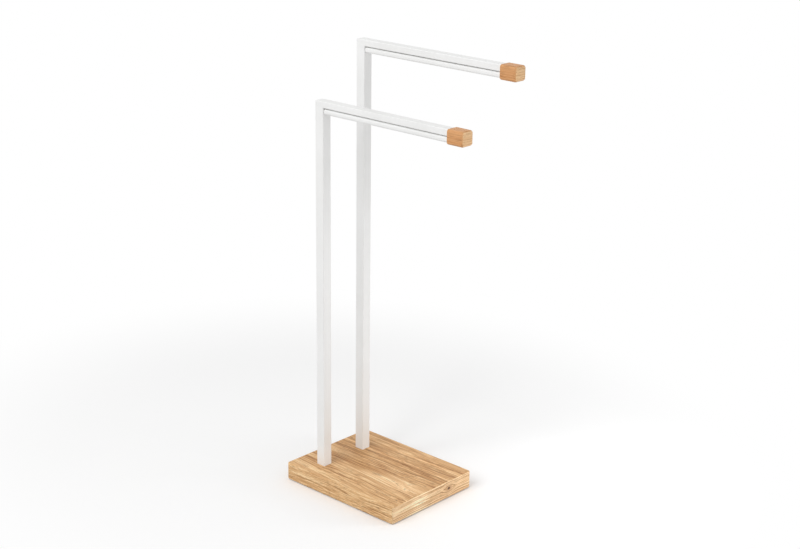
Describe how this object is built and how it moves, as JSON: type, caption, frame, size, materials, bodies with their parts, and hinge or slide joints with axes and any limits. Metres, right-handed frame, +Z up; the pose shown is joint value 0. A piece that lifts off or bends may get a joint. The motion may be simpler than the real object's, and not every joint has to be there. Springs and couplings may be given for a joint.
{
  "type": "freestanding towel stand",
  "caption": "Freestanding towel stand: a low and a tall white inverted-L tube frame with wooden end blocks on the arms, bolted to a rectangular wooden base.",
  "frame": {"origin": "on the floor, under the centre of the base board", "axes": "+X is the way the arms point, +Y runs from the low front frame to the tall rear frame, +Z is up"},
  "size_m": [0.422, 0.22, 0.8515],
  "materials": {
    "base_wood": "oiled, satin; edge-glued staves along X",
    "end_block_wood": "oiled, satin",
    "white_powder_coat": "satin white powder coat",
    "zinc_plated_steel": "zinc plated",
    "black_nylon": "moulded, matte",
    "pad_rubber": "matte"
  },
  "bodies": {
    "root": {"base_board": "base_wood", "front_upright": "white_powder_coat", "front_arm": "white_powder_coat", "front_lower_rail": "white_powder_coat", "front_end_block": "end_block_wood", "front_arm_plug": "black_nylon", "front_rail_plug": "black_nylon", "front_foot_plug": "zinc_plated_steel", "rear_upright": "white_powder_coat", "rear_arm": "white_powder_coat", "rear_lower_rail": "white_powder_coat", "rear_end_block": "end_block_wood", "rear_arm_plug": "black_nylon", "rear_rail_plug": "black_nylon", "rear_foot_plug": "zinc_plated_steel", "foot_bolts": "zinc_plated_steel", "plain_washers": "zinc_plated_steel", "spring_washers": "zinc_plated_steel", "pad_front_left": "pad_rubber", "pad_front_right": "pad_rubber", "pad_rear_left": "pad_rubber", "pad_rear_right": "pad_rubber"}
  },
  "joints": []
}
